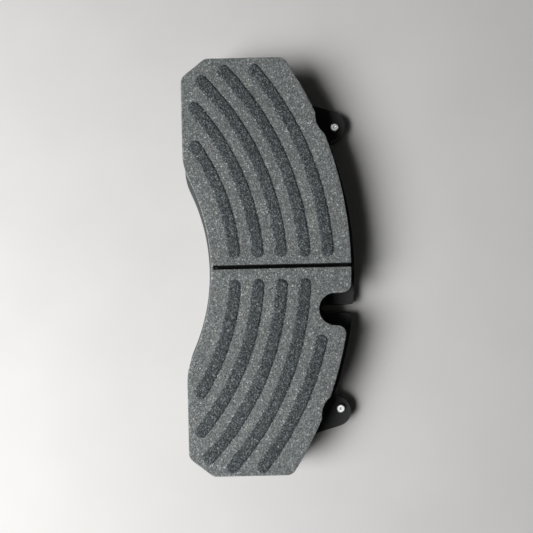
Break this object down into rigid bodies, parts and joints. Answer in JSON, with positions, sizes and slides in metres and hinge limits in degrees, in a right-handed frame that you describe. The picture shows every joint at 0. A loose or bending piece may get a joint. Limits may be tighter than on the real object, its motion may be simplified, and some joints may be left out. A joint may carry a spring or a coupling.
{
  "type": "disc brake pad",
  "caption": "Curved heavy-vehicle disc brake pad: steel backing plate with pinned ears, slotted friction block with arc ribs and a wear-sensor pocket.",
  "frame": {"origin": "middle of the footprint, on the backing plate's rear face", "axes": "+X along the pad, in the disc's direction of travel; +Y away from the axle, towards the ears; +Z from the rear face to the friction face"},
  "size_m": [0.2494, 0.1054, 0.03],
  "materials": {
    "plate_paint": "satin",
    "underlayer_compound": "matte",
    "friction_compound": "matte",
    "rib_compound": "matte",
    "pin_steel": "satin"
  },
  "bodies": {
    "root": {"backing_plate": "plate_paint", "underlayer": "underlayer_compound", "friction_block": "friction_compound", "bedding_rib_left_1": "rib_compound", "bedding_rib_left_2": "rib_compound", "bedding_rib_left_3": "rib_compound", "bedding_rib_left_4": "rib_compound", "bedding_rib_left_5": "rib_compound", "bedding_rib_right_1": "rib_compound", "bedding_rib_right_2": "rib_compound", "bedding_rib_right_3": "rib_compound", "bedding_rib_right_4": "rib_compound", "bedding_rib_right_5": "rib_compound", "spring_pin_left": "pin_steel", "spring_pin_right": "pin_steel"}
  },
  "joints": []
}
